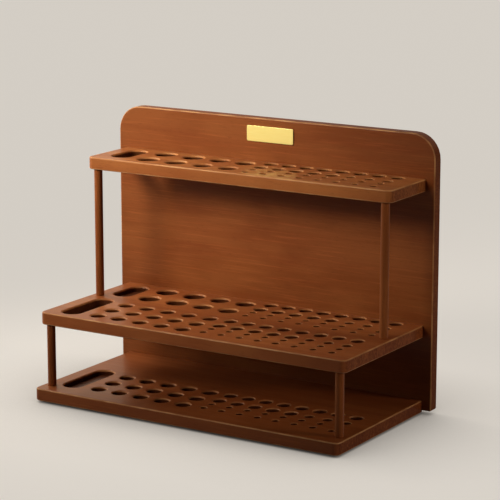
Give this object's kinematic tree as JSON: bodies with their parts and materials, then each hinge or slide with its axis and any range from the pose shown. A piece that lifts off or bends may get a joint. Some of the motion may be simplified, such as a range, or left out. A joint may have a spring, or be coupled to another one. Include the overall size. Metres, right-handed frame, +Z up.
{
  "type": "tool and brush stand",
  "caption": "Tiered wooden stand: a back panel and round posts carry perforated boards; tools pass through an upper board and stand in shallow recesses of the board below it.",
  "frame": {"origin": "on the table surface, below the middle of the stand's outline", "axes": "+X to the right along the boards, +Y to the back, towards the panel, +Z up"},
  "size_m": [0.348, 0.169, 0.263],
  "materials": {
    "stained_wood": "reddish-brown stain under satin lacquer",
    "brass": "satin, bare",
    "tape": "foam tape",
    "zinc_steel": "zinc plated",
    "foot_rubber": "matt"
  },
  "bodies": {
    "root": {"back_panel": "stained_wood", "top_shelf": "stained_wood", "middle_shelf": "stained_wood", "base_board": "stained_wood", "upper_post_left": "stained_wood", "post_screw_upper_left": "zinc_steel", "lower_post_left": "stained_wood", "post_screw_lower_left": "zinc_steel", "panel_screw_top_left": "zinc_steel", "panel_screw_middle_left": "zinc_steel", "panel_screw_base_left": "zinc_steel", "foot_front_left": "foot_rubber", "foot_rear_left": "foot_rubber", "upper_post_right": "stained_wood", "post_screw_upper_right": "zinc_steel", "lower_post_right": "stained_wood", "post_screw_lower_right": "zinc_steel", "panel_screw_top_right": "zinc_steel", "panel_screw_middle_right": "zinc_steel", "panel_screw_base_right": "zinc_steel", "foot_front_right": "foot_rubber", "foot_rear_right": "foot_rubber", "brass_plate": "brass", "plate_tape": "tape"}
  },
  "joints": []
}
